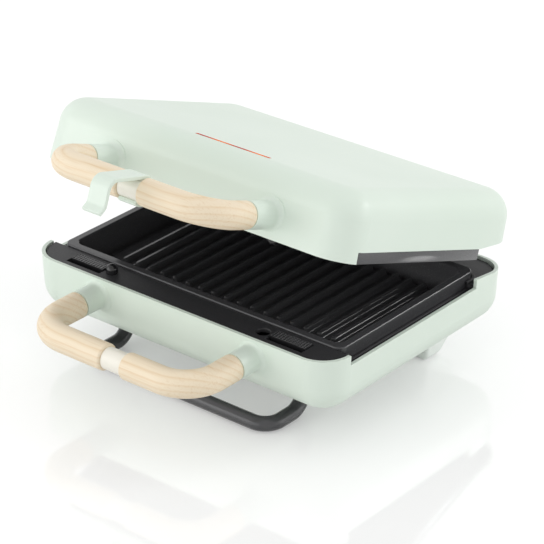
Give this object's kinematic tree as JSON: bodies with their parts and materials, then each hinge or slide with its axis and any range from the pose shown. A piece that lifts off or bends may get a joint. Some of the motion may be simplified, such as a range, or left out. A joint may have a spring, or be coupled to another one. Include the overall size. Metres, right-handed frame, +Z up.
{
  "type": "contact grill",
  "caption": "Two-sided contact grill: drafted base and hinged lid, ribbed removable plates with sliding catches, bent wooden handles and a strip latch",
  "frame": {"origin": "on the floor, under the middle of the bounding box with the lid open as in the picture", "axes": "X to the right seen from the front, Y from the handles to the hinge, Z up"},
  "size_m": [0.252, 0.2776, 0.1813],
  "materials": {
    "housing": "pale green moulded plastic, satin",
    "latch_green": "pale green moulded plastic, satin",
    "deck_black": "black heat-proof plastic, satin",
    "catch_black": "black plastic, finely hatched pad",
    "plate_coating": "cast, black non-stick coating",
    "grip_wood": "pale birch, satin lacquer",
    "neck_cream": "cream enamel",
    "stand_black": "black enamel, satin",
    "hinge_black": "black enamel",
    "pad_rubber": "soft black rubber",
    "gland_black": "black plastic",
    "terminal_white": "white plastic",
    "heater_steel": "drawn tube, heat-darkened",
    "shield_sheet": "pressed bright sheet",
    "spring_steel": "drawn wire",
    "screw_steel": "zinc plated",
    "pin_steel": "turned",
    "bracket_steel": "zinc plated",
    "control_metal": "pressed can",
    "stripe_orange": "thin coloured inlay"
  },
  "bodies": {
    "base": {"base_shell": "housing", "base_deck": "deck_black", "lower_plate": "plate_coating", "lower_heater": "heater_steel", "lower_heat_shield": "shield_sheet", "base_guide_post": "deck_black", "lower_handle_core": "neck_cream", "lower_grip_right": "grip_wood", "lower_grip_left": "grip_wood", "base_catch_spring_right": "spring_steel", "base_catch_spring_left": "spring_steel", "base_shield_screws": "screw_steel", "base_deck_screws": "screw_steel", "front_stand": "stand_black", "stand_plates": "bracket_steel", "rear_foot_right": "housing", "rear_foot_left": "housing", "foot_pads": "pad_rubber", "hinge_arm_right": "hinge_black", "hinge_arm_left": "hinge_black", "cord_gland": "gland_black", "terminal_block": "terminal_white", "thermostat": "control_metal", "thermal_fuse": "control_metal"},
    "lid": {"lid_shell": "housing", "lid_deck": "deck_black", "upper_plate": "plate_coating", "upper_heater": "heater_steel", "upper_heat_shield": "shield_sheet", "lid_guide_post": "deck_black", "upper_handle_core": "neck_cream", "upper_grip_right": "grip_wood", "upper_grip_left": "grip_wood", "lid_catch_spring_right": "spring_steel", "lid_catch_spring_left": "spring_steel", "lid_shield_screws": "screw_steel", "lid_deck_screws": "screw_steel", "hinge_ears_right": "hinge_black", "hinge_ears_left": "hinge_black", "hinge_pins": "pin_steel", "accent_stripe": "stripe_orange"},
    "latch": {"latch": "latch_green"},
    "base_catch_right": {"base_catch_right": "catch_black"},
    "base_catch_left": {"base_catch_left": "catch_black"},
    "lid_catch_right": {"lid_catch_right": "catch_black"},
    "lid_catch_left": {"lid_catch_left": "catch_black"}
  },
  "joints": [
    {"name": "lid_hinge", "type": "hinge", "parent": "base", "child": "lid", "pos_m": [0, 0.12707, 0.0675], "axis": [-1, 0, 0], "range_deg": [-20, 80]},
    {"name": "latch_pivot", "type": "hinge", "parent": "lid", "child": "latch", "pos_m": [0.0052, -0.09981, 0.16487], "axis": [1, 0, 0], "range_deg": [-60, 60]},
    {"name": "base_catch_right_slide", "type": "slide", "parent": "base", "child": "base_catch_right", "axis": [0, -1, 0], "range_m": [0, 0.0034], "stiffness_N_per_m": 150, "springref_m": -0.004, "deforming": ["base_catch_spring_right"]},
    {"name": "base_catch_left_slide", "type": "slide", "parent": "base", "child": "base_catch_left", "axis": [0, -1, 0], "range_m": [0, 0.0034], "stiffness_N_per_m": 150, "springref_m": -0.004, "deforming": ["base_catch_spring_left"]},
    {"name": "lid_catch_right_slide", "type": "slide", "parent": "lid", "child": "lid_catch_right", "axis": [0, -0.9397, 0.342], "range_m": [0, 0.0034], "stiffness_N_per_m": 150, "springref_m": -0.004, "deforming": ["lid_catch_spring_right"]},
    {"name": "lid_catch_left_slide", "type": "slide", "parent": "lid", "child": "lid_catch_left", "axis": [0, -0.9397, 0.342], "range_m": [0, 0.0034], "stiffness_N_per_m": 150, "springref_m": -0.004, "deforming": ["lid_catch_spring_left"]}
  ]
}
